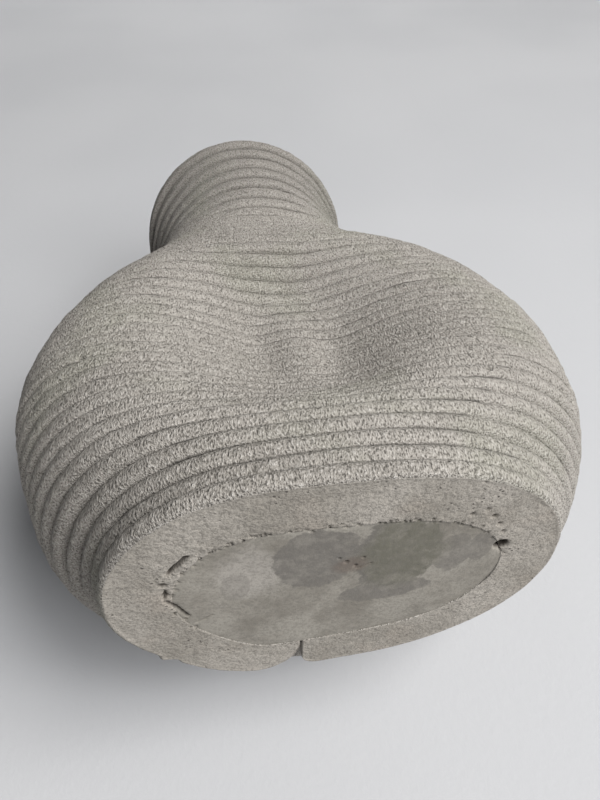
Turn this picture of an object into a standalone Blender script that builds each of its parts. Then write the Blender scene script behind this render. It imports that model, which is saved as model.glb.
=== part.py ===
"""Layer-printed concrete vase with a dented belly, lying on its back on a bench.

The vase is modelled upright in its own frame: axis along z, foot plane at z = 0, dent facing -y.
It is 37 extruded courses of mortar laid one on the other, and a poured plug that closes the foot.
An empty then lays it down: axis along +Y, foot towards -Y, dent facing up, belly and rim on Z = 0.
"""
import bmesh
import bpy
import math
import numpy as np
from mathutils import Euler, Matrix

# ---------------------------------------------------------------- driving dimensions (metres)
N_COURSES = 37
COURSE_H = 0.008          # height of one printed course
JOINT_GAP = 0.0003        # clearance between neighbouring solids
BEAD_W = 0.018            # wall thickness, the width of a bead
FOOT_BEAD_W = 0.022       # the first course is squashed wider
BEAD_BULGE = 0.0014       # how far a bead's belly stands out of its path
BEAD_PINCH = 0.0008       # how far a bead's edges draw back from its path
PATH_POINTS = 40          # straight pieces in one course
PLUG_COURSES = 2          # depth of the poured plug
SEAM_ANGLE = 256.0        # where the foot bead starts and ends, degrees
SEAM_SLIT = 0.0022        # open slit between its two ends
LOBE_ANGLE = 236.0        # the foot bead's tail swings out here
LOBE_WIDTH = 20.0
LOBE_OUT = 0.0045
REST_TILT = 3.27          # degrees the axis falls towards the rim when the vase lies down

MM = 0.001
MERGE = 0.00002

# Form rails: how the section's path changes with height. Heights are in courses, the rest in mm.
# shift_x, shift_y place the section's centre; mean is its mean radius; the others are the cosine
# and sine parts of its two-lobed (oval) and three-lobed departure from a circle.
RAIL_HEIGHTS = (0, 2, 5, 8, 12, 16, 20, 24, 28, 32, 37)
RAILS = {
    "shift_x": (-1.5, 4.0, 4.5, 6.0, 5.5, 5.0, 7.5, 11.0, 7.0, 0.5, 0.0),
    "shift_y": (40.5, 23.0, 9.0, 3.5, -1.5, -2.5, -0.5, -2.0, -4.0, -0.5, 3.8),
    "mean": (65.5, 78.0, 94.5, 99.0, 101.5, 99.0, 90.5, 88.5, 73.5, 64.0, 72.2),
    "oval_cos": (10.5, 10.5, 15.5, 23.5, 29.5, 31.5, 28.0, 23.0, 13.0, -0.5, -3.2),
    "oval_sin": (-2.5, -4.5, -4.5, -4.0, -5.5, -4.0, -3.0, -3.0, -2.5, 0.0, -0.5),
    "three_cos": (1.0, 0.0, 1.0, 2.0, 4.0, 6.5, 5.5, 2.0, 1.5, 0.0, 0.5),
    "three_sin": (1.0, 0.0, -0.5, 2.5, 6.0, 8.0, 10.0, 1.5, -0.5, -1.0, 0.0),
}

# Two thumb-like hollows make the dent: depth in mm, height and half-height in courses,
# angle and half-width in degrees, and the drift of the angle in degrees over ten courses.
DENTS = (
    {"depth": 13.5, "height": 14.0, "tall": 7.5, "angle": 64.0, "wide": 21.0, "drift": -25.0},
    {"depth": 28.5, "height": 14.5, "tall": 7.5, "angle": 116.0, "wide": 21.0, "drift": 6.0},
)

CONCRETE = (0.40, 0.385, 0.36, 1.0)
SCREED = (0.36, 0.35, 0.325, 1.0)


# ---------------------------------------------------------------- form
def natural_spline(knots, values):
    """Second derivatives of the natural cubic spline through the knots."""
    n = len(knots)
    gaps = np.diff(knots)
    slopes = np.diff(values) / gaps
    system = np.eye(n)
    right = np.zeros(n)
    for i in range(1, n - 1):
        system[i, i - 1] = gaps[i - 1]
        system[i, i] = 2.0 * (gaps[i - 1] + gaps[i])
        system[i, i + 1] = gaps[i]
        right[i] = 6.0 * (slopes[i] - slopes[i - 1])
    return np.linalg.solve(system, right)


KNOTS = np.array(RAIL_HEIGHTS, float)
RAIL_VALUES = {name: np.array(row) * MM for name, row in RAILS.items()}
RAIL_BENDS = {name: natural_spline(KNOTS, row) for name, row in RAIL_VALUES.items()}


def rail(name, height):
    """Value of one rail at a height given in courses."""
    i = int(np.clip(np.searchsorted(KNOTS, height) - 1, 0, len(KNOTS) - 2))
    gap = KNOTS[i + 1] - KNOTS[i]
    a = (KNOTS[i + 1] - height) / gap
    b = 1.0 - a
    value = RAIL_VALUES[name]
    bend = RAIL_BENDS[name]
    curve = ((a ** 3 - a) * bend[i] + (b ** 3 - b) * bend[i + 1]) * gap * gap / 6.0
    return a * value[i] + b * value[i + 1] + curve


def section(height, angles):
    """Path of the wall at a height, as x and y arrays; angle 90 degrees is the dented side."""
    radius = np.full(len(angles), rail("mean", height))
    radius += rail("oval_cos", height) * np.cos(2 * angles)
    radius += rail("oval_sin", height) * np.sin(2 * angles)
    radius += rail("three_cos", height) * np.cos(3 * angles)
    radius += rail("three_sin", height) * np.sin(3 * angles)
    for dent in DENTS:
        rise = (height - dent["height"]) / dent["tall"]
        centre = dent["angle"] + dent["drift"] * (height - dent["height"]) / 10.0
        turn = (np.degrees(angles) - centre + 180.0) % 360.0 - 180.0
        radius -= dent["depth"] * MM * np.exp(-rise * rise - (turn / dent["wide"]) ** 2)
    if height < 1.0:
        turn = (np.degrees(angles) - LOBE_ANGLE + 180.0) % 360.0 - 180.0
        radius += LOBE_OUT * np.exp(-(turn / LOBE_WIDTH) ** 2)
    x = rail("shift_x", height) + radius * np.cos(angles)
    y = rail("shift_y", height) + radius * np.sin(angles)
    return x, y


def even_path(height, count, closed=True):
    """The section's path cut into pieces of even length, as (x, y) rows in the upright frame."""
    start = math.radians(SEAM_ANGLE)
    angles = start + np.linspace(0.0, 2.0 * math.pi, 1441)
    x, y = section(height, angles)
    run = np.concatenate([[0.0], np.cumsum(np.hypot(np.diff(x), np.diff(y)))])
    if closed:
        stations = np.linspace(0.0, run[-1], count + 1)[:-1]
    else:
        stations = np.linspace(SEAM_SLIT / 2, run[-1] - SEAM_SLIT / 2, count + 1)
    return np.stack([np.interp(stations, run, x), -np.interp(stations, run, y)], axis=1)


def inner_offset(path, distance):
    """A closed path moved inwards by a distance, square to itself."""
    ahead = np.roll(path, -1, axis=0) - np.roll(path, 1, axis=0)
    ahead /= np.linalg.norm(ahead, axis=1)[:, None]
    inward = np.stack([ahead[:, 1], -ahead[:, 0]], axis=1)
    return path + inward * distance


# ---------------------------------------------------------------- scene helpers
for old in list(bpy.data.objects):
    bpy.data.objects.remove(old, do_unlink=True)

vase = bpy.data.collections.new("printed_concrete_vase")
bpy.context.scene.collection.children.link(vase)
profiles = bpy.data.collections.new("bead_profiles")
bpy.context.scene.collection.children.link(profiles)
profiles.hide_render = True


def material(name, colour, roughness):
    made = bpy.data.materials.new(name)
    made.use_nodes = True
    shader = made.node_tree.nodes["Principled BSDF"]
    shader.inputs["Base Color"].default_value = colour
    shader.inputs["Roughness"].default_value = roughness
    return made


def bead_profile(name, width):
    """Closed outline of a bead: bulged outside, upright inside, x inwards from the path."""
    half = (COURSE_H - JOINT_GAP) / 2
    outline = (
        (BEAD_PINCH, -half),
        (-BEAD_BULGE, 0.0),
        (BEAD_PINCH, half),
        (width, half),
        (width, -half),
    )
    curve = bpy.data.curves.new(name, "CURVE")
    curve.dimensions = "2D"
    spline = curve.splines.new("POLY")
    spline.points.add(len(outline) - 1)
    for point, (x, y) in zip(spline.points, outline):
        point.co = (x, y, 0.0, 1.0)
    spline.use_cyclic_u = True
    made = bpy.data.objects.new(name, curve)
    made.display_type = "WIRE"
    made.hide_render = True
    profiles.objects.link(made)
    return made


def to_mesh(source, name):
    """Replace a curve object by the mesh it makes."""
    graph = bpy.context.evaluated_depsgraph_get()
    mesh = bpy.data.meshes.new_from_object(source.evaluated_get(graph), depsgraph=graph)
    solid = bmesh.new()
    solid.from_mesh(mesh)
    bmesh.ops.remove_doubles(solid, verts=solid.verts, dist=MERGE)
    bmesh.ops.recalc_face_normals(solid, faces=solid.faces)
    solid.to_mesh(mesh)
    solid.free()
    made = bpy.data.objects.new(name, mesh)
    vase.objects.link(made)
    bpy.data.objects.remove(source, do_unlink=True)
    return made


def sweep(name, path, z, profile, closed):
    """Sweep a bead profile along a level path."""
    curve = bpy.data.curves.new(name + "_path", "CURVE")
    curve.dimensions = "3D"
    curve.twist_mode = "Z_UP"
    spline = curve.splines.new("POLY")
    spline.points.add(len(path) - 1)
    for point, (x, y) in zip(spline.points, path):
        point.co = (x, y, z, 1.0)
    spline.use_cyclic_u = closed
    curve.bevel_mode = "OBJECT"
    curve.bevel_object = profile
    curve.use_fill_caps = not closed
    source = bpy.data.objects.new(name + "_path", curve)
    vase.objects.link(source)
    return to_mesh(source, name)


def prism(name, outline, z_low, z_high):
    """Solid with upright walls on a closed outline."""
    curve = bpy.data.curves.new(name + "_outline", "CURVE")
    curve.dimensions = "2D"
    curve.fill_mode = "BOTH"
    curve.extrude = (z_high - z_low) / 2
    spline = curve.splines.new("POLY")
    spline.points.add(len(outline) - 1)
    for point, (x, y) in zip(spline.points, outline):
        point.co = (x, y, 0.0, 1.0)
    spline.use_cyclic_u = True
    source = bpy.data.objects.new(name + "_outline", curve)
    vase.objects.link(source)
    made = to_mesh(source, name)
    made.data.transform(Matrix.Translation((0.0, 0.0, (z_low + z_high) / 2)))
    return made


# ---------------------------------------------------------------- the pieces
pieces = []
bead = bead_profile("bead_profile", BEAD_W)
foot_bead = bead_profile("foot_bead_profile", FOOT_BEAD_W)

for number in range(1, N_COURSES + 1):
    height = number - 0.5
    is_foot = number == 1
    name = "course_%02d" % number
    path = even_path(height, PATH_POINTS, closed=not is_foot)
    level = height * COURSE_H
    course = sweep(name, path, level, foot_bead if is_foot else bead, closed=not is_foot)
    course.data.materials.clear()
    course.data.materials.append(material("mortar_%02d" % number, CONCRETE, 0.92))
    pieces.append(course)

# The plug is cast inside the lowest beads, so it keeps clear of every one it passes.
low_path = even_path(0.5, PATH_POINTS)
plug_outline = inner_offset(low_path, FOOT_BEAD_W + 3 * JOINT_GAP)
centre = plug_outline.mean(axis=0)
arm = plug_outline - centre
arm_angle = np.arctan2(arm[:, 1], arm[:, 0])
arm_length = np.linalg.norm(arm, axis=1)
for number in range(2, PLUG_COURSES + 1):
    wall = inner_offset(even_path(number - 0.5, 4 * PATH_POINTS), BEAD_W + 3 * JOINT_GAP) - centre
    wall_angle = np.arctan2(wall[:, 1], wall[:, 0])
    order = np.argsort(wall_angle)
    reach = np.linalg.norm(wall, axis=1)[order]
    limit = np.interp(arm_angle, wall_angle[order], reach, period=2 * math.pi)
    arm_length = np.minimum(arm_length, limit)
plug_outline = centre + np.stack([np.cos(arm_angle), np.sin(arm_angle)], axis=1) * arm_length[:, None]
plug = prism("foot_plug", plug_outline, JOINT_GAP / 2, PLUG_COURSES * COURSE_H - JOINT_GAP / 2)
plug.data.materials.clear()
plug.data.materials.append(material("poured_screed", SCREED, 0.85))
pieces.append(plug)

# ---------------------------------------------------------------- lay the vase down
turn = Euler((math.radians(-90.0 - REST_TILT), 0.0, 0.0)).to_matrix().to_4x4()
corners = np.array([(turn @ v.co)[:] for piece in pieces for v in piece.data.vertices])
low = corners.min(axis=0)
high = corners.max(axis=0)

lying = bpy.data.objects.new("lying_pose", None)
vase.objects.link(lying)
lying.rotation_euler = (math.radians(-90.0 - REST_TILT), 0.0, 0.0)
lying.location = (-(low[0] + high[0]) / 2, -(low[1] + high[1]) / 2, -low[2])
for piece in pieces:
    piece.parent = lying
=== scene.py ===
"""Looks for the layer-printed concrete vase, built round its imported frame.

Each course gets a fine bead with worn, uneven joints in place of its CAD solid, and the poured
plug gets its pits, cracks and damp patches. Pieces are modelled upright, in millimetres: axis
along z, foot plane at z = 0, dented side facing -y. One matrix then lays them down.
"""
import bpy
import math
import numpy as np
from mathutils import Euler, Matrix, Vector


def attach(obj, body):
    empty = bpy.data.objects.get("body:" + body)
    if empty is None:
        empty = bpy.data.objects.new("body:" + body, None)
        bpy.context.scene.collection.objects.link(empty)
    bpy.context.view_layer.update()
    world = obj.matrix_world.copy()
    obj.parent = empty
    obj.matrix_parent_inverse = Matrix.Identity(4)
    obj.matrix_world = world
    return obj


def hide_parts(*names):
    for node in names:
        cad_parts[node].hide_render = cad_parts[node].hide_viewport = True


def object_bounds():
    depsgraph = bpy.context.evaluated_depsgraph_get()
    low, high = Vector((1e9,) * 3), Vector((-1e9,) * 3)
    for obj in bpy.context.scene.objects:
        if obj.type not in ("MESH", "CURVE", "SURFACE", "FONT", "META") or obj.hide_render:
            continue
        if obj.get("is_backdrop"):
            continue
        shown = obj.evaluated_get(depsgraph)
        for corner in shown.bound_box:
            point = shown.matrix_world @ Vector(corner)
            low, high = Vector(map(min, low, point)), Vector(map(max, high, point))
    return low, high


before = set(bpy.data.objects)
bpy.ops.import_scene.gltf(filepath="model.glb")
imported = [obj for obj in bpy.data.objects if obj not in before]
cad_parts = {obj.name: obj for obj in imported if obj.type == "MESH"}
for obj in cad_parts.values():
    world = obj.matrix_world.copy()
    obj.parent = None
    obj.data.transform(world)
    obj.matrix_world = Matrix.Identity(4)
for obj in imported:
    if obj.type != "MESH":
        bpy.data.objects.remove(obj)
CAD_LOW, CAD_HIGH = (Vector(corner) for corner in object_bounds())

# ---------------------------------------------------------------- form (millimetres, courses)
N_COURSES = 37
COURSE_H = 8.0
BEAD_W = 18.0             # wall thickness, the width of a bead
FOOT_BEAD_W = 22.0        # the first course is squashed wider
CROWN = 1.25              # how far a bead's crown stands out of its path
BEAD_GAP = 0.12           # clearance above and below a bead
LEDGE_STEPS = (0.05, 0.11, 0.18, 0.26, 0.35, 0.46, 0.6, 0.8)    # points across a bead's ledge
INNER_STEPS = (1.0, 0.6, 0.0, -0.6, -1.0)                       # points down its inner side
PLUG_TOP = 15.8           # how far up inside the foot the poured plug reaches
PLUG_UNDER = 0.2          # how far its skin is drawn back from the foot plane
SEAM_ANGLE = 256.0        # where the foot bead starts and ends, degrees
SEAM_SLIT = 1.2           # open slit between its two ends
START_ROUND = 7.0         # radius that rounds off its start
END_ROUND = 19.0          # radius that rounds off its end
LOBE_ANGLE = 236.0        # the foot bead's tail swings out here, degrees
LOBE_WIDTH = 20.0
LOBE_OUT = 4.5
CRUMB_ANGLE = 206.0       # a crumb of mortar where the tail leaves the foot, degrees
MARK_SHADE_DEPTH = 1.6         # a mark this deep is fully dark inside with painted shade
CREASE_REACH = 7.0        # how far dust and painted shade spread over a ledge from the corner of two beads
REST_TILT = 3.27          # degrees the axis falls towards the rim when the vase lies down
LYING_AT = (-0.009382, -0.149304, 0.088470)      # metres, where the upright frame's origin goes
LYING_TURN = (math.radians(-90.0 - REST_TILT), 0.0, 0.0)

# ---------------------------------------------------------------- fineness
STEP = 0.62       # spacing of points along a course, mm
PROFILE = 19        # points up the outer side of a course
FACE_STEPS = 36    # steps across the foot face and the rim's top
PLUG_RINGS = 96    # rings from the plug's edge to its middle
PLUG_TOP_RINGS = 8                  # the same, on its hidden top
FINE_PATH = 2881                    # points that a course's length is measured on

# ---------------------------------------------------------------- rails (repeated from part.py)
KNOTS = np.array((0, 2, 5, 8, 12, 16, 20, 24, 28, 32, 37), float)
RAILS = {
    "shift_x": (-1.5, 4.0, 4.5, 6.0, 5.5, 5.0, 7.5, 11.0, 7.0, 0.5, 0.0),
    "shift_y": (40.5, 23.0, 9.0, 3.5, -1.5, -2.5, -0.5, -2.0, -4.0, -0.5, 3.8),
    "mean": (65.5, 78.0, 94.5, 99.0, 101.5, 99.0, 90.5, 88.5, 73.5, 64.0, 72.2),
    "oval_cos": (10.5, 10.5, 15.5, 23.5, 29.5, 31.5, 28.0, 23.0, 13.0, -0.5, -3.2),
    "oval_sin": (-2.5, -4.5, -4.5, -4.0, -5.5, -4.0, -3.0, -3.0, -2.5, 0.0, -0.5),
    "three_cos": (1.0, 0.0, 1.0, 2.0, 4.0, 6.5, 5.5, 2.0, 1.5, 0.0, 0.5),
    "three_sin": (1.0, 0.0, -0.5, 2.5, 6.0, 8.0, 10.0, 1.5, -0.5, -1.0, 0.0),
}
DENTS = (
    {"depth": 13.5, "height": 14.0, "tall": 7.5, "angle": 64.0, "wide": 21.0, "drift": -25.0},
    {"depth": 28.5, "height": 14.5, "tall": 7.5, "angle": 116.0, "wide": 21.0, "drift": 6.0},
)


def spline_bends(values):
    """Second derivatives of the natural cubic spline through the rails' knots."""
    n = len(KNOTS)
    gaps = np.diff(KNOTS)
    slopes = np.diff(values) / gaps
    system = np.eye(n)
    right = np.zeros(n)
    for i in range(1, n - 1):
        system[i, i - 1] = gaps[i - 1]
        system[i, i] = 2.0 * (gaps[i - 1] + gaps[i])
        system[i, i + 1] = gaps[i]
        right[i] = 6.0 * (slopes[i] - slopes[i - 1])
    return np.linalg.solve(system, right)


RAIL_VALUES = {name: np.array(row) for name, row in RAILS.items()}
RAIL_BENDS = {name: spline_bends(row) for name, row in RAIL_VALUES.items()}


def rail(name, height):
    """Value of a form rail at a height in courses."""
    i = int(np.clip(np.searchsorted(KNOTS, height) - 1, 0, len(KNOTS) - 2))
    gap = KNOTS[i + 1] - KNOTS[i]
    a = (KNOTS[i + 1] - height) / gap
    b = 1.0 - a
    value, bend = RAIL_VALUES[name], RAIL_BENDS[name]
    curve = ((a ** 3 - a) * bend[i] + (b ** 3 - b) * bend[i + 1]) * gap * gap / 6.0
    return a * value[i] + b * value[i + 1] + curve


def section(height, angles):
    """Path of the wall at a height; angle 90 degrees is the dented side."""
    radius = np.full(len(angles), rail("mean", height))
    radius += rail("oval_cos", height) * np.cos(2 * angles)
    radius += rail("oval_sin", height) * np.sin(2 * angles)
    radius += rail("three_cos", height) * np.cos(3 * angles)
    radius += rail("three_sin", height) * np.sin(3 * angles)
    for dent in DENTS:
        rise = (height - dent["height"]) / dent["tall"]
        centre = dent["angle"] + dent["drift"] * (height - dent["height"]) / 10.0
        turn = (np.degrees(angles) - centre + 180.0) % 360.0 - 180.0
        radius -= dent["depth"] * np.exp(-rise * rise - (turn / dent["wide"]) ** 2)
    if height < 1.0:
        turn = (np.degrees(angles) - LOBE_ANGLE + 180.0) % 360.0 - 180.0
        radius += LOBE_OUT * np.exp(-(turn / LOBE_WIDTH) ** 2)
    x = rail("shift_x", height) + radius * np.cos(angles)
    y = rail("shift_y", height) + radius * np.sin(angles)
    return x, y


def even_path(height, step, closed=True):
    """(points, outward directions, angles, run along the path, whole length) of one course."""
    angles = math.radians(SEAM_ANGLE) + np.linspace(0.0, 2.0 * math.pi, FINE_PATH)
    x, y = section(height, angles)
    run = np.concatenate([[0.0], np.cumsum(np.hypot(np.diff(x), np.diff(y)))])
    count = int(round(run[-1] / step))
    if closed:
        stations = np.linspace(0.0, run[-1], count + 1)[:-1]
    else:
        stations = np.linspace(SEAM_SLIT / 2, run[-1] - SEAM_SLIT / 2, count)
    px = np.interp(stations, run, x)
    py = -np.interp(stations, run, y)
    dx = np.interp(stations, run, np.gradient(x, run))
    dy = -np.interp(stations, run, np.gradient(y, run))
    size = np.hypot(dx, dy)
    # the path turns clockwise seen from above once y is flipped, so outward is to its left
    outward = np.stack([-dy / size, dx / size], axis=1)
    return np.stack([px, py], axis=1), outward, np.interp(stations, run, angles), stations, run[-1]


# ---------------------------------------------------------------- steady noise
def lattice(ix, iy, iz, seed):
    h = (ix * 374761393 + iy * 668265263 + iz * 1440670441 + seed * 974711) & 0xFFFFFFFF
    h = ((h ^ (h >> 13)) * 1274126177) & 0xFFFFFFFF
    return ((h ^ (h >> 16)) & 0xFFFF) / 32767.5 - 1.0


def noise(points, cell, seed):
    """Smooth value noise from -1 to 1 at (n, 3) points, with features of about one cell."""
    p = points / np.asarray(cell, float)
    low = np.floor(p).astype(np.int64)
    t = p - low
    t = t * t * (3.0 - 2.0 * t)
    total = np.zeros(len(p))
    for cx in (0, 1):
        wx = t[:, 0] if cx else 1.0 - t[:, 0]
        for cy in (0, 1):
            wy = t[:, 1] if cy else 1.0 - t[:, 1]
            for cz in (0, 1):
                wz = t[:, 2] if cz else 1.0 - t[:, 2]
                total += wx * wy * wz * lattice(low[:, 0] + cx, low[:, 1] + cy, low[:, 2] + cz, seed)
    return total


def on_ring(angles, level, lobes, seed):
    """Noise that closes round a course: lobes is about how many bumps there are."""
    r = lobes / (2.0 * math.pi)
    p = np.stack([np.cos(angles) * r, np.sin(angles) * r, np.full(len(angles), level * 7.31)], axis=1)
    return noise(p + 50.0, 1.0, seed)


# ---------------------------------------------------------------- joints between courses
def bell(value, centre, width):
    return np.exp(-((value - centre) / width) ** 2)


PLAIN_DEPTH = 1.25        # how far a bead draws back at a plain joint
NECK_DEPTH = 0.55         # the same in the neck
NECK_JOINT = 28           # the neck's first joint
JOINT_MARKS = (   # mm deeper, joint, joints each way, degrees, degrees each way (None: all round)
    (1.9, 2.0, 4.2, None, None),
    (2.3, 19.5, 2.8, 96.0, 38.0),
    (0.7, 7.0, 1.2, 40.0, 40.0),
    (1.0, 34.0, 0.6, None, None),
    (-0.35, 13.0, 4.0, 92.0, 45.0),
)


def joint_depth(joint, angles):
    """How far a bead draws back where it meets the next one, in mm."""
    degrees = np.degrees(angles) % 360.0
    depth = np.full(len(angles), PLAIN_DEPTH if joint < NECK_JOINT else NECK_DEPTH)
    for deeper, at_joint, joints, at_degrees, wide in JOINT_MARKS:
        share = 1.0 if wide is None else bell(degrees, at_degrees, wide)
        depth += deeper * bell(joint, at_joint, joints) * share
    depth *= 1.0 + 0.35 * on_ring(angles, joint, 9, 11) + 0.18 * on_ring(angles, joint, 40, 12)
    depth += 0.45 * on_ring(np.full(len(angles), 0.3), joint, 3, 13)
    return np.clip(depth, 0.3, 4.0)


def nose_depth(depth, out):
    """The depth where a bead stands out beyond its neighbour (deeper) or is overhung (shallower)."""
    grown = depth + 0.55 * np.clip(out, 0.0, 5.0)
    return np.minimum(grown * (1.0 - 0.5 * np.clip(-out / 3.0, 0.0, 1.0)), 4.6)


def joint_height(joint, angles):
    """Height of the joint above a course, in mm: level, with a little wander."""
    if joint in (0, N_COURSES):
        return np.full(len(angles), joint * COURSE_H)
    wander = 0.26 * on_ring(angles, joint, 6, 21) + 0.08 * on_ring(angles, joint, 24, 22)
    return joint * COURSE_H + wander


def overhang(height, other, angles, outward):
    """How far the course at one height stands out beyond the course at another, in mm."""
    x, y = section(height, angles)
    ox, oy = section(other, angles)
    return (x - ox) * outward[:, 0] - (y - oy) * outward[:, 1]


# ---------------------------------------------------------------- marks on the foot
FOOT_PITS = (   # x, y (upright frame, dented side -y), radius, depth
    (56.2, -44.8, 2.2, 6.5), (-58.1, -53.8, 1.3, 1.8), (-58.1, -47.6, 1.2, 1.6),
    (42.8, -83.9, 1.7, 3.0), (41.3, -65.7, 0.9, 1.2), (39.8, -84.4, 0.8, 1.2),
    (49.6, -62.8, 1.0, 1.3), (52.3, -58.0, 0.9, 1.2), (54.6, -53.2, 1.0, 1.2),
    (46.2, -67.4, 0.8, 1.0), (1.0, -49.5, 0.8, 1.0), (4.2, -46.6, 0.7, 0.9),
    (-1.5, -52.3, 0.6, 0.8), (6.8, -50.8, 0.6, 0.8),
)
BODY_PITS = ((-85.7, -70.5, 96.4), (-106.9, -56.9, 84.3), (70.9, -72.5, 60.7))     # x, y, z
BODY_PIT_R = 1.5
# radius of the painted shade inside each body pit
BODY_PIT_SHADE_R = 1.7
BODY_PIT_DEPTH = 2.6
BUBBLE_STEP = 1.9           # spacing of the places where a bubble may be
BUBBLE_ARC = (5.0, 200.0)   # degrees, the side above the seam
BUBBLE_DEPTH = 1.1
FOOT_CRACKS = (  # from x, y to x, y, half-width, depth
    (-49.0, -67.1, -55.4, -59.5, 0.65, 4.5), (-58.4, -43.9, -55.3, -38.2, 0.6, 2.2),
    (-55.3, -38.2, -52.8, -32.4, 0.55, 2.0), (-50.5, -26.6, -45.0, -30.3, 0.35, 1.2),
    (-57.6, -50.5, -58.6, -45.5, 0.5, 1.4), (-44.0, -69.5, -48.6, -66.4, 0.3, 1.0),
    (5.0, -44.6, 9.5, -46.8, 0.35, 0.8),
)


def boundary_pits():
    """Small bubbles left where the poured plug meets the bead."""
    path, outward, angles = even_path(0.5, BUBBLE_STEP)[:3]
    edge = path - outward * (FOOT_BEAD_W - 0.2)
    dice = np.arange(len(edge))
    luck = lattice(dice, dice * 3 + 1, dice * 0, 61)
    push = lattice(dice, dice * 5 + 2, dice * 0, 62)
    size = 0.42 + 0.28 * np.abs(lattice(dice, dice * 7 + 3, dice * 0, 63))
    degrees = np.degrees(angles) % 360.0
    keep = (luck > 0.0) & (degrees > BUBBLE_ARC[0]) & (degrees < BUBBLE_ARC[1])
    spots = edge + outward * push[:, None] * 1.1
    return [(x, y, radius, BUBBLE_DEPTH) for (x, y), radius in zip(spots[keep], size[keep])]


ALL_FOOT_PITS = FOOT_PITS + tuple(boundary_pits())


def foot_carving(x, y):
    """How deep the foot face is hollowed at a place, in mm."""
    depth = np.zeros(len(x))
    for cx, cy, radius, deep in ALL_FOOT_PITS:
        away = np.hypot(x - cx, y - cy) / radius
        depth = np.maximum(depth, deep * np.exp(-away ** 4))
    for ax, ay, bx, by, half, deep in FOOT_CRACKS:
        ux, uy = bx - ax, by - ay
        t = np.clip(((x - ax) * ux + (y - ay) * uy) / (ux * ux + uy * uy), 0.0, 1.0)
        away = np.hypot(x - ax - t * ux, y - ay - t * uy)
        depth = np.maximum(depth, deep * np.exp(-(away / half) ** 2))
    return depth


# ---------------------------------------------------------------- meshes
lying = Matrix.Translation(LYING_AT) @ Euler(LYING_TURN).to_matrix().to_4x4()
MATRIX = np.array(lying)
LOW = np.array(CAD_LOW) * 1000.0
HIGH = np.array(CAD_HIGH) * 1000.0


def laid_down(points):
    """Upright points taken to the row frame, held to the CAD box where their relief passes it."""
    return np.clip(points @ MATRIX[:3, :3].T + MATRIX[:3, 3] * 1000.0, LOW, HIGH)


def add_piece(name, points, faces, materials, edge, face_material=None):
    """A mesh object from upright points; edge is the share of shade stored at each point."""
    points = laid_down(points) / 1000.0
    mesh = bpy.data.meshes.new(name)
    mesh.from_pydata(points.tolist(), [], faces)
    for material in materials:
        mesh.materials.append(material)
    if face_material is not None:
        mesh.polygons.foreach_set("material_index", face_material)
    mesh.attributes.new("edge", "FLOAT", "POINT").data.foreach_set("value", edge)
    mesh.shade_smooth()
    mesh.update()
    piece = bpy.data.objects.new(name, mesh)
    bpy.context.scene.collection.objects.link(piece)
    return piece


def bead_section(first, last):
    """Points round a bead: (height -1 to 1, 0 on its outer side to 1 on its inner side)."""
    up = np.sin(np.linspace(-1.0, 1.0, PROFILE) * math.pi / 2.0)
    even = tuple(np.linspace(0.0, 1.0, FACE_STEPS + 1)[1:-1])
    top_steps = even if last else LEDGE_STEPS
    low_steps = even if first else LEDGE_STEPS
    loop = [(v, 0.0) for v in up]
    loop += [(1.0, t) for t in top_steps]
    loop += [(v, 1.0) for v in INNER_STEPS]
    loop += [(-1.0, t) for t in low_steps[::-1]]
    return np.array(loop)


def bead_joint(number, step, angles, outward):
    """(depth, overhang) at a bead's lower joint for step -1, at its upper one for step 1."""
    if number == (1 if step < 0 else N_COURSES):
        plain, rough, level = (2.6, 0.5, 0) if step < 0 else (1.1, 0.3, N_COURSES)
        depth = np.full(len(angles), plain) + rough * on_ring(angles, level, 12, 14)
        return depth, np.zeros(len(angles))
    middle = number - 0.5
    out = overhang(middle, middle + step, angles, outward)
    joint = number - 1 if step < 0 else number
    return nose_depth(joint_depth(joint, angles), out), out


def seam_cut(away, radius):
    """How far the foot bead's outer side draws back at a distance from one of its ends, in mm."""
    t = np.clip(1.0 - away / radius, 0.0, 0.995)
    return radius * (1.0 - np.sqrt(1.0 - t * t))


def crumb_out(angles):
    """A crumb and the nick beside it on the foot bead, in mm."""
    degrees = np.degrees(angles) % 360.0
    return 1.7 * bell(degrees, CRUMB_ANGLE, 1.5) - 1.2 * bell(degrees, CRUMB_ANGLE + 4.0, 1.8)


def bead_shade(v, inward, depth, out, width):
    """Share of dust and shade, which gather in the concave corner that two beads make."""
    edge = np.abs(v)
    crease_in = np.clip(out, 0.0, width) - inward * width
    on_face = edge * (1.0 - np.clip(out / 2.0, 0.0, 1.0))
    on_ledge = np.clip(1.0 - np.abs(crease_in) / CREASE_REACH, 0.0, 1.0) * (out > 0.7)
    shade = np.where(inward > 0.0, np.where(edge >= 1.0, on_ledge, 0.0), on_face)
    return shade * (0.93 + 0.07 * np.clip((depth - 0.8) / 2.0, 0.0, 1.0))


def bead_relief(flat, unevenness, outer):
    """How far the outer side stands out: broad unevenness, lumps, and grain that runs up the bead."""
    relief = 0.35 * (unevenness - 0.3)
    relief += 0.22 * noise(flat, (9.0, 9.0, 6.0), 32)
    relief += 0.12 * noise(flat, (3.4, 3.4, 4.6), 33)
    relief += 0.17 * noise(flat, (1.25, 1.25, 2.4), 34)
    return np.minimum(relief, 0.15) * outer


def bead_faces(n, k, closed):
    """Quads between neighbouring cross-sections of k points."""
    i = np.arange(n if closed else n - 1)[:, None]
    j = np.arange(k)[None, :]
    here, ahead = i * k, (i + 1) % n * k
    beside = (j + 1) % k
    corners = (here + j, ahead + j, ahead + beside, here + beside)
    return np.stack([corner.reshape(-1) for corner in corners], axis=1).tolist()


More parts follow.
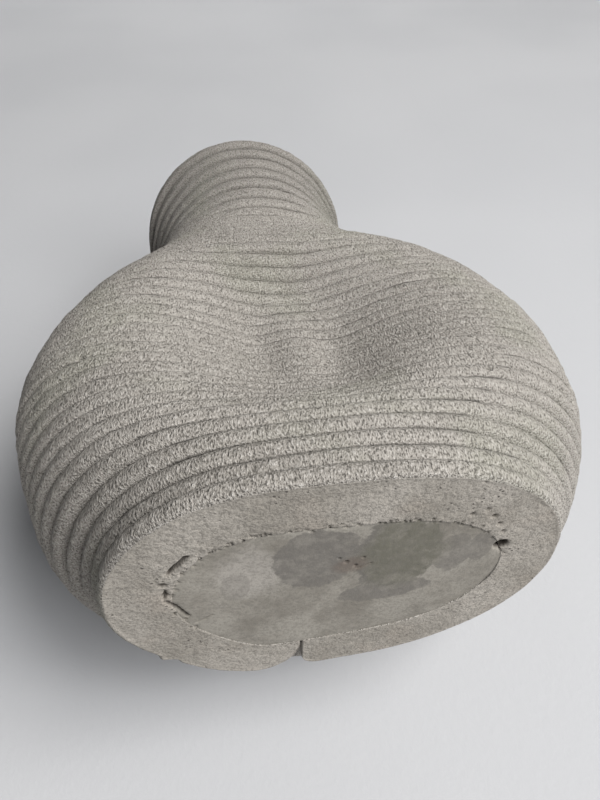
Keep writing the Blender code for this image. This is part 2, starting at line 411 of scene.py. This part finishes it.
def course_piece(number, materials):
    """One bead: a loop of points round its cross-section, repeated along the course's path."""
    first, last = number == 1, number == N_COURSES
    path, outward, angles, run, whole = even_path(number - 0.5, STEP, closed=not first)
    width = FOOT_BEAD_W if first else BEAD_W
    z_low = joint_height(number - 1, angles) + BEAD_GAP
    z_high = joint_height(number, angles) - BEAD_GAP
    low_depth, low_out = bead_joint(number, -1, angles, outward)
    high_depth, high_out = bead_joint(number, 1, angles, outward)

    loop = bead_section(first, last)
    n, k = len(path), len(loop)
    v = np.tile(loop[:, 0], (n, 1))
    inward = np.tile(loop[:, 1], (n, 1))
    depth = np.where(v < 0.0, low_depth[:, None], high_depth[:, None])
    out = np.where(v < 0.0, low_out[:, None], high_out[:, None])

    # where a bead overhangs its neighbour its nose is round; where it is overhung it stays full
    edge = np.abs(v)
    sharp = np.clip(depth / 3.0, 0.12, 1.0)
    drop = sharp * (1.0 - np.sqrt(1.0 - (0.995 * edge) ** 2)) + (1.0 - sharp) * edge ** 9
    offset = (CROWN - depth * drop) * (1.0 - inward) - width * inward
    if first:
        from_start = run[:, None] - SEAM_SLIT / 2.0
        from_end = whole - SEAM_SLIT / 2.0 - run[:, None]
        offset -= seam_cut(from_start, START_ROUND) * (1.0 - inward)
        offset -= seam_cut(from_end, END_ROUND) * (1.0 - inward)
        offset += crumb_out(angles)[:, None] * (1.0 - inward)

    z = z_low[:, None] + (z_high - z_low)[:, None] * (v + 1.0) / 2.0
    place = path[:, None, :] + outward[:, None, :] * offset[:, :, None]
    flat = np.concatenate([place.reshape(-1, 2), z.reshape(-1, 1)], axis=1)
    way = np.repeat(outward, k, axis=0)
    unevenness = np.repeat(on_ring(angles, number, 14, 31), k)
    relief = bead_relief(flat, unevenness, (1.0 - inward.reshape(-1)) ** 3)
    flat[:, :2] += way * relief[:, None]

    shade = bead_shade(v, inward, depth, out, width)
    if first:
        shade = np.where(v < 0.0, 0.0, shade)
    if last:
        shade = np.where(v > 0.0, 0.0, shade)
    shade = shade.reshape(-1)
    for px, py, pz in BODY_PITS:
        away = np.sqrt((flat[:, 0] - px) ** 2 + (flat[:, 1] - py) ** 2 + (flat[:, 2] - pz) ** 2)
        flat[:, :2] -= way * (BODY_PIT_DEPTH * np.exp(-(away / BODY_PIT_R) ** 4))[:, None]
        # painted shade inside each body pit, stored in the same share as the crease shade
        shade = np.maximum(shade, np.exp(-(away / BODY_PIT_SHADE_R) ** 4))

    if first:
        under = np.tile((loop[:, 0] <= -1.0) & (loop[:, 1] > 0.0), n)
        sand = 0.16 * noise(flat, (1.5, 1.5, 3.0), 41) + 0.14 * noise(flat, (5.0, 5.0, 5.0), 42)
        carved = foot_carving(flat[:, 0], flat[:, 1])
        flat[:, 2] += np.where(under, carved + 0.22 + sand, 0.0)
        # painted shade inside the foot's pits and cracks, darker the deeper they are carved
        shade = np.where(under, np.clip(carved / MARK_SHADE_DEPTH, 0.0, 1.0), shade)
    if last:
        upper = np.tile((loop[:, 0] >= 1.0) & (loop[:, 1] > 0.0), n)
        sand = 0.20 * noise(flat, (1.6, 1.6, 3.0), 43) + 0.2 * noise(flat, (6.0, 6.0, 5.0), 44)
        flat[:, 2] += np.where(upper, sand - 0.2, 0.0)

    faces = bead_faces(n, k, closed=not first)
    kind = np.zeros(len(faces), np.int32)
    if first:
        foot_side = (loop[:, 0] <= -1.0) | (np.roll(loop[:, 0], -1) <= -1.0)
        foot_side &= np.roll(loop[:, 1], -1) < 1.0
        end_caps = [list(range(k)), [(n - 1) * k + q for q in range(k)][::-1]]
        kind = np.concatenate([np.tile(foot_side, n - 1), [0, 0]]).astype(np.int32)
        faces += end_caps
    return add_piece(f"bead_{number:02d}", flat, faces, materials, shade, kind)


def plug_piece(material):
    """The poured plug: rings that shrink to its middle, below and above, joined by its wall."""
    path, outward = even_path(0.5, STEP)[:2]
    edge = path - outward * (FOOT_BEAD_W - 0.35)
    middle = edge.mean(axis=0)
    n = len(edge)

    def rings(count, z):
        """Copies of the plug's edge at one height, from full size towards the middle."""
        shrink = np.linspace(1.0, 0.0, count + 1)[:-1]
        return [np.column_stack([middle + (edge - middle) * s, np.full(n, z)]) for s in shrink]

    under = rings(PLUG_RINGS, PLUG_UNDER)
    over = rings(PLUG_TOP_RINGS, PLUG_TOP)
    points = np.concatenate(under[::-1] + over)
    ring = np.arange(len(points)) // n
    below = ring < PLUG_RINGS
    trowel = 0.30 + 0.22 * noise(points, (17.0, 17.0, 9.0), 51)
    trowel = trowel + 0.07 * noise(points, (2.2, 2.2, 4.0), 52)
    to_middle = np.clip(1.0 - ring / (PLUG_RINGS - 1), 0.0, 1.0)
    lip = 0.10 * np.exp(-to_middle * PLUG_RINGS / 3.0)
    carved = np.where(below, foot_carving(points[:, 0], points[:, 1]), 0.0)
    points[:, 2] += np.where(below, np.maximum(trowel, 0.02) + lip + carved, 0.0)

    faces = []
    levels = PLUG_RINGS + PLUG_TOP_RINGS
    i = np.arange(n)
    for level in range(levels - 1):
        a, b = level * n + i, level * n + (i + 1) % n
        faces += np.stack([a, b, b + n, a + n], axis=1).tolist()
    faces.append(list(range(n))[::-1])
    faces.append([(levels - 1) * n + q for q in range(n)])
    # painted shade inside the plug's pits and cracks, darker the deeper they are carved
    shade = np.clip(carved / MARK_SHADE_DEPTH, 0.0, 1.0)
    return add_piece("plug_poured", points, faces, [material], shade)


# ---------------------------------------------------------------- materials
def rgb(red, green, blue):
    return (red, green, blue, 1.0)


MORTAR_LOW = rgb(0.385, 0.358, 0.322)
MORTAR_HIGH = rgb(0.455, 0.424, 0.384)
MORTAR_OLIVE = rgb(0.372, 0.366, 0.300)
MORTAR_HOLLOW = rgb(0.125, 0.117, 0.102)      # between the grains
MORTAR_GRAIN = rgb(0.640, 0.612, 0.566)
MORTAR_SPECK = rgb(0.640, 0.620, 0.590)
MORTAR_NECK = rgb(0.200, 0.188, 0.172)
# dust and painted shade in the creases between beads, painted shade inside the body's pits
MORTAR_DUST_AND_SHADE = rgb(0.110, 0.104, 0.092)
NECK_FROM = 0.225           # metres up the axis where the mortar starts to darken
NECK_TO = 0.270

FOOT_LOW = rgb(0.335, 0.308, 0.268)
FOOT_HIGH = rgb(0.455, 0.421, 0.374)
FOOT_WARM = rgb(0.400, 0.345, 0.290)
FOOT_HOLLOW = rgb(0.150, 0.140, 0.122)
FOOT_PORE = rgb(0.085, 0.078, 0.068)
PIT_AND_CRACK_SHADE = rgb(0.055, 0.046, 0.038)             # painted shade inside the pits and cracks

SCREED_LOW = rgb(0.235, 0.216, 0.184)
SCREED_HIGH = rgb(0.352, 0.328, 0.286)
SCREED_BLOOM = rgb(0.455, 0.422, 0.384)
SCREED_WET = rgb(0.176, 0.163, 0.145)
SCREED_OLIVE = rgb(0.158, 0.150, 0.118)
SCREED_STAIN = rgb(0.150, 0.108, 0.082)
SCREED_PORE = rgb(0.08, 0.07, 0.06)
SCREED_HOLLOW = rgb(0.165, 0.155, 0.135)
DAMP = (     # x, y, half-width, half-depth (mm, upright frame), darkness
    (-9.0, -54.0, 15.0, 17.5, 0.92), (18.5, -49.5, 16.0, 22.0, 1.0), (38.5, -44.5, 7.5, 11.5, 0.72),
    (48.5, -46.5, 5.0, 9.0, 0.75), (16.0, -27.0, 17.0, 6.5, 0.85), (-36.0, -45.0, 5.0, 8.0, 0.35),
)
BLOOM = (-31.0, -52.0, 13.0, 17.0)            # x, y, half-width, half-depth of each patch
OLIVE = (21.0, -49.0, 16.0, 24.0)
STAIN = (3.0, -47.0, 7.5, 5.5)

PAPER_LOW = rgb(0.560, 0.566, 0.580)
PAPER_HIGH = rgb(0.590, 0.595, 0.608)


def new_material(name):
    material = bpy.data.materials.new(name)
    material.use_nodes = True
    tree = material.node_tree
    shader = tree.nodes["Principled BSDF"]
    return material, tree, shader


class Tree:
    """Short calls for the nodes that these materials share."""

    def __init__(self, tree):
        self.tree = tree
        upright = tree.nodes.new("ShaderNodeMapping")      # undoes the lying pose
        upright.vector_type = "TEXTURE"
        upright.inputs["Location"].default_value = LYING_AT
        upright.inputs["Rotation"].default_value = LYING_TURN
        coordinates = tree.nodes.new("ShaderNodeTexCoord")
        tree.links.new(coordinates.outputs["Object"], upright.inputs["Vector"])
        self.place = upright.outputs["Vector"]

    def put(self, socket, value):
        if isinstance(value, bpy.types.NodeSocket):
            self.tree.links.new(value, socket)
        else:
            socket.default_value = value

    def stretched(self, scale, shift=(0.0, 0.0, 0.0)):
        node = self.tree.nodes.new("ShaderNodeMapping")
        self.put(node.inputs["Vector"], self.place)
        node.inputs["Scale"].default_value = scale
        node.inputs["Location"].default_value = shift
        return node.outputs["Vector"]

    def noise(self, scale, detail=2.0, rough=0.5, stretch=(1.0, 1.0, 1.0), shift=(0.0, 0.0, 0.0)):
        node = self.tree.nodes.new("ShaderNodeTexNoise")
        self.put(node.inputs["Vector"], self.stretched(stretch, shift))
        node.inputs["Scale"].default_value = scale
        node.inputs["Detail"].default_value = detail
        node.inputs["Roughness"].default_value = rough
        return node.outputs["Fac"]

    def cells(self, scale, stretch=(1.0, 1.0, 1.0)):
        node = self.tree.nodes.new("ShaderNodeTexVoronoi")
        self.put(node.inputs["Vector"], self.stretched(stretch))
        node.inputs["Scale"].default_value = scale
        return node.outputs["Distance"]

    def ramp(self, value, low, high, out_low=0.0, out_high=1.0):
        node = self.tree.nodes.new("ShaderNodeMapRange")
        node.interpolation_type = "SMOOTHSTEP"
        self.put(node.inputs["Value"], value)
        node.inputs["From Min"].default_value = low
        node.inputs["From Max"].default_value = high
        node.inputs["To Min"].default_value = out_low
        node.inputs["To Max"].default_value = out_high
        return node.outputs["Result"]

    def math(self, kind, a, b=0.0):
        """One arithmetic node."""
        node = self.tree.nodes.new("ShaderNodeMath")
        node.operation = kind
        self.put(node.inputs[0], a)
        self.put(node.inputs[1], b)
        return node.outputs[0]

    def mix(self, share, a, b, blend="MIX"):
        node = self.tree.nodes.new("ShaderNodeMix")
        node.data_type = "RGBA"
        node.blend_type = blend
        self.put(node.inputs[0], share)
        self.put(node.inputs[6], a)
        self.put(node.inputs[7], b)
        return node.outputs[2]

    def bump(self, height, strength, distance, under=None):
        node = self.tree.nodes.new("ShaderNodeBump")
        node.inputs["Strength"].default_value = strength
        node.inputs["Distance"].default_value = distance
        self.put(node.inputs["Height"], height)
        if under is not None:
            self.put(node.inputs["Normal"], under)
        return node.outputs["Normal"]

    def edge(self):
        """The value each piece stores where two beads meet, or where the foot is marked: a share of
        dust and painted shade in the creases, of painted shade inside pits and cracks.
        """
        node = self.tree.nodes.new("ShaderNodeAttribute")
        node.attribute_name = "edge"
        return node.outputs["Fac"]

    def split(self):
        """x, y and z up the vase's axis, in metres."""
        node = self.tree.nodes.new("ShaderNodeSeparateXYZ")
        self.put(node.inputs[0], self.place)
        return node.outputs

    def blob(self, patch, wobble):
        """0 in the middle of an oval patch, 1 at its edge, with a ragged outline."""
        x, y, half_width, half_depth = (value / 1000.0 for value in patch)
        across = self.split()
        dx = self.math("DIVIDE", self.math("SUBTRACT", across[0], x), half_width)
        dy = self.math("DIVIDE", self.math("SUBTRACT", across[1], y), half_depth)
        square = self.math("ADD", self.math("MULTIPLY", dx, dx), self.math("MULTIPLY", dy, dy))
        return self.math("ADD", self.math("SQRT", square), wobble)


def mortar(name):
    """Printed mortar: sandy, matt, grain drawn up the bead, darkened in the joints by dust and painted
    shade, and in its pits by painted shade.
    """
    material, tree, shader = new_material(name)
    t = Tree(tree)
    cloud = t.noise(14.0, 3.0, 0.55)
    tint = t.noise(23.0, 2.0, 0.5, shift=(3.1, 0.7, 1.9))
    grain = t.noise(1500.0, 2.0, 0.60, stretch=(1.0, 1.0, 0.48))
    speck = t.noise(1500.0, 1.0, 0.5)
    colour = t.mix(t.ramp(cloud, 0.35, 0.65), MORTAR_LOW, MORTAR_HIGH)
    colour = t.mix(t.ramp(tint, 0.48, 0.72, 0.0, 0.55), colour, MORTAR_OLIVE)
    colour = t.mix(t.ramp(grain, 0.32, 0.52, 0.88, 0.0), colour, MORTAR_HOLLOW)
    colour = t.mix(t.ramp(grain, 0.52, 0.70, 0.0, 0.80), colour, MORTAR_GRAIN)
    colour = t.mix(t.ramp(speck, 0.62, 0.76, 0.0, 0.35), colour, MORTAR_SPECK)
    neck = t.ramp(t.split()[2], NECK_FROM, NECK_TO, 0.0, 0.30)
    colour = t.mix(neck, colour, MORTAR_NECK)
    # dust and painted shade in the joints, painted shade in the body's pits, from the stored share
    joint = t.ramp(t.edge(), 0.80, 1.0, 0.0, 0.96)
    colour = t.mix(joint, colour, MORTAR_DUST_AND_SHADE)
    t.put(shader.inputs["Base Color"], colour)
    t.put(shader.inputs["Roughness"], t.ramp(grain, 0.3, 0.7, 0.98, 0.86))
    shader.inputs["Specular IOR Level"].default_value = 0.25
    coarse = t.bump(grain, 1.0, 0.0013)
    t.put(shader.inputs["Normal"], t.bump(speck, 0.55, 0.0004, coarse))
    return material


def foot_sand(name):
    """The foot ring, cast flat against the print bed: fine, sandy, with small dark pores."""
    material, tree, shader = new_material(name)
    t = Tree(tree)
    cloud = t.noise(26.0, 4.0, 0.6)
    warm = t.noise(38.0, 2.0, 0.5, shift=(1.0, 2.0, 3.0))
    sand = t.noise(1100.0, 2.0, 0.6)
    colour = t.mix(t.ramp(cloud, 0.34, 0.66), FOOT_LOW, FOOT_HIGH)
    colour = t.mix(t.ramp(warm, 0.52, 0.72, 0.0, 0.35), colour, FOOT_WARM)
    colour = t.mix(t.ramp(sand, 0.36, 0.54, 0.48, 0.0), colour, FOOT_HOLLOW)
    pores = t.ramp(t.cells(420.0), 0.10, 0.22, 1.0, 0.0)
    where = t.ramp(t.noise(60.0, 2.0, 0.5, shift=(4.0, 1.0, 0.0)), 0.50, 0.66)
    dots = t.math("MULTIPLY", pores, where)
    colour = t.mix(t.math("MULTIPLY", dots, 0.75), colour, FOOT_PORE)
    # painted shade inside the pits and cracks
    colour = t.mix(t.ramp(t.edge(), 0.15, 0.9, 0.0, 0.92), colour, PIT_AND_CRACK_SHADE)
    t.put(shader.inputs["Base Color"], colour)
    shader.inputs["Roughness"].default_value = 0.93
    shader.inputs["Specular IOR Level"].default_value = 0.25
    coarse = t.bump(sand, 0.8, 0.0006)
    t.put(shader.inputs["Normal"], t.bump(t.math("SUBTRACT", 1.0, dots), 0.8, 0.0008, coarse))
    return material


def screed(name):
    """The poured plug: smooth cement skin with damp patches, pale bloom and brown stains."""
    material, tree, shader = new_material(name)
    t = Tree(tree)
    ragged = t.noise(95.0, 6.0, 0.66)
    wobble = t.math("MULTIPLY", t.math("SUBTRACT", ragged, 0.5), 0.80)
    cloud = t.noise(48.0, 4.0, 0.6, shift=(0.4, 2.2, 0.9))
    skin = t.noise(900.0, 2.0, 0.55)
    colour = t.mix(t.ramp(cloud, 0.34, 0.64), SCREED_LOW, SCREED_HIGH)
    bloom = t.ramp(t.blob(BLOOM, wobble), 0.55, 1.05, 0.55, 0.0)
    colour = t.mix(bloom, colour, SCREED_BLOOM)
    damp = None
    for *patch, dark in DAMP:
        one = t.ramp(t.blob(patch, wobble), 0.93, 1.02, dark, 0.0)
        damp = one if damp is None else t.math("MAXIMUM", damp, one)
    olive = t.ramp(t.blob(OLIVE, wobble), 0.70, 1.10, 1.0, 0.0)
    wet = t.mix(olive, SCREED_WET, SCREED_OLIVE)
    mottle = t.ramp(t.noise(190.0, 5.0, 0.68, shift=(2.0, 0.0, 5.0)), 0.42, 0.66, 1.0, 0.55)
    share = t.math("MULTIPLY", t.math("MINIMUM", damp, 1.0), mottle)
    colour = t.mix(share, colour, wet)
    stain = t.ramp(t.blob(STAIN, wobble), 0.55, 1.10, 0.45, 0.0)
    colour = t.mix(stain, colour, SCREED_STAIN)
    dots = t.ramp(t.cells(330.0), 0.06, 0.12, 1.0, 0.0)
    where = t.ramp(t.noise(90.0, 1.0, 0.5, shift=(7.0, 3.0, 0.0)), 0.58, 0.70)
    colour = t.mix(t.math("MULTIPLY", t.math("MULTIPLY", dots, where), 0.7), colour, SCREED_PORE)
    colour = t.mix(t.ramp(skin, 0.36, 0.54, 0.34, 0.0), colour, SCREED_HOLLOW)
    # painted shade inside the pits and cracks
    colour = t.mix(t.ramp(t.edge(), 0.15, 0.9, 0.0, 0.92), colour, PIT_AND_CRACK_SHADE)
    t.put(shader.inputs["Base Color"], colour)
    t.put(shader.inputs["Roughness"], t.ramp(share, 0.0, 1.0, 0.88, 0.70))
    shader.inputs["Specular IOR Level"].default_value = 0.3
    t.put(shader.inputs["Normal"], t.bump(skin, 0.45, 0.0004))
    return material


def paper(name):
    """The white bench: near white, faintly fibrous."""
    material, tree, shader = new_material(name)
    t = Tree(tree)
    fibre = t.noise(260.0, 4.0, 0.65)
    broad = t.noise(3.0, 2.0, 0.5)
    colour = t.mix(t.ramp(broad, 0.35, 0.65), PAPER_LOW, PAPER_HIGH)
    t.put(shader.inputs["Base Color"], colour)
    shader.inputs["Roughness"].default_value = 0.9
    t.put(shader.inputs["Normal"], t.bump(fibre, 0.18, 0.0010))
    return material


# ---------------------------------------------------------------- build
MORTAR = mortar("mortar_printed")
FOOT_SAND = foot_sand("mortar_foot_face")
SCREED = screed("screed_damp")

for number in range(1, N_COURSES + 1):
    bead = course_piece(number, [MORTAR, FOOT_SAND] if number == 1 else [MORTAR])
    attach(bead, "root")
    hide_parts(f"course_{number:02d}")

plug = plug_piece(SCREED)
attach(plug, "root")
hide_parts("foot_plug")

# ---------------------------------------------------------------- bench, light, camera
FLOOR_REACH = 6.0
FLOOR_DROP = 0.0002         # the bench top is this far under the vase, so that they never share a face
bench_mesh = bpy.data.meshes.new("bench_top")
corners = [(-FLOOR_REACH, -FLOOR_REACH, 0), (FLOOR_REACH, -FLOOR_REACH, 0)]
corners += [(FLOOR_REACH, FLOOR_REACH, 0), (-FLOOR_REACH, FLOOR_REACH, 0)]
bench_mesh.from_pydata(corners, [], [(0, 1, 2, 3)])
bench_mesh.materials.append(paper("bench_paper"))
bench = bpy.data.objects.new("bench_top", bench_mesh)
bench.location.z = CAD_LOW.z - FLOOR_DROP
bpy.context.scene.collection.objects.link(bench)
bench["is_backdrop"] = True


def soft_light(name, place, aim, size, power, tint, spread):
    """A round lamp: place, aim and size in metres, power in watts, spread in degrees."""
    lamp = bpy.data.lights.new(name, "AREA")
    lamp.shape = "DISK"
    lamp.size = size
    lamp.energy = power
    lamp.color = tint
    lamp.spread = math.radians(spread)
    thing = bpy.data.objects.new(name, lamp)
    thing.location = place
    thing.rotation_euler = (Vector(aim) - Vector(place)).to_track_quat("-Z", "Y").to_euler()
    bpy.context.scene.collection.objects.link(thing)


WARM_WHITE = (1.0, 0.985, 0.965)
COOL_WHITE = (0.99, 0.99, 1.0)
AIR_TINT = (0.93, 0.96, 1.0, 1.0)
AIR_STRENGTH = 0.08
soft_light("window", (1.75, -0.70, 3.20), (0.0, 0.0, 0.06), 2.0, 90.0, WARM_WHITE, 180.0)
soft_light("room", (0.80, -1.05, 1.45), (0.0, -0.1, 0.08), 1.1, 27.0, COOL_WHITE, 180.0)
soft_light("far_bench", (0.0, 2.60, 2.60), (0.0, 1.90, 0.0), 1.4, 5.5, COOL_WHITE, 60.0)

world = bpy.data.worlds.new("room_air")
world.use_nodes = True
air = world.node_tree.nodes["Background"]
air.inputs["Color"].default_value = AIR_TINT
air.inputs["Strength"].default_value = AIR_STRENGTH
bpy.context.scene.world = world
bpy.context.scene.view_settings.view_transform = "Standard"

# The lens sees the vase's axis at these angles, in radians, and the foot's middle at this place.
AXIS_LEAN = 0.7762
AXIS_TURN = 1.8331
FOOT_FROM_LENS = Vector((1.7973, 11.2128, 28.8101)) * (COURSE_H / 1000.0)   # right, down, ahead
LENS_MM = 27.0
SENSOR_MM = 36.0
axis = Vector((
    math.sin(AXIS_LEAN) * math.cos(AXIS_TURN),
    -math.sin(AXIS_LEAN) * math.sin(AXIS_TURN),
    math.cos(AXIS_LEAN),
))
side = Vector((1.0, 0.0, 0.0)) - axis * axis.x
side.normalize()
dented = side.cross(axis)
# rows turn lens coordinates (right, down, ahead) into the upright frame
to_upright = Matrix((side, -dented, axis))
eye = to_upright @ (-FOOT_FROM_LENS)
turn = to_upright @ Matrix(((1.0, 0.0, 0.0), (0.0, -1.0, 0.0), (0.0, 0.0, -1.0)))
camera_data = bpy.data.cameras.new("camera")
camera_data.sensor_fit = "VERTICAL"
camera_data.sensor_height = SENSOR_MM
camera_data.lens = LENS_MM
camera_data.clip_start = 0.01
camera_data.dof.use_dof = False
camera = bpy.data.objects.new("camera", camera_data)
camera.matrix_world = lying @ (Matrix.Translation(eye) @ turn.to_4x4())
bpy.context.scene.collection.objects.link(camera)
bpy.context.scene.camera = camera

bpy.context.view_layer.update()
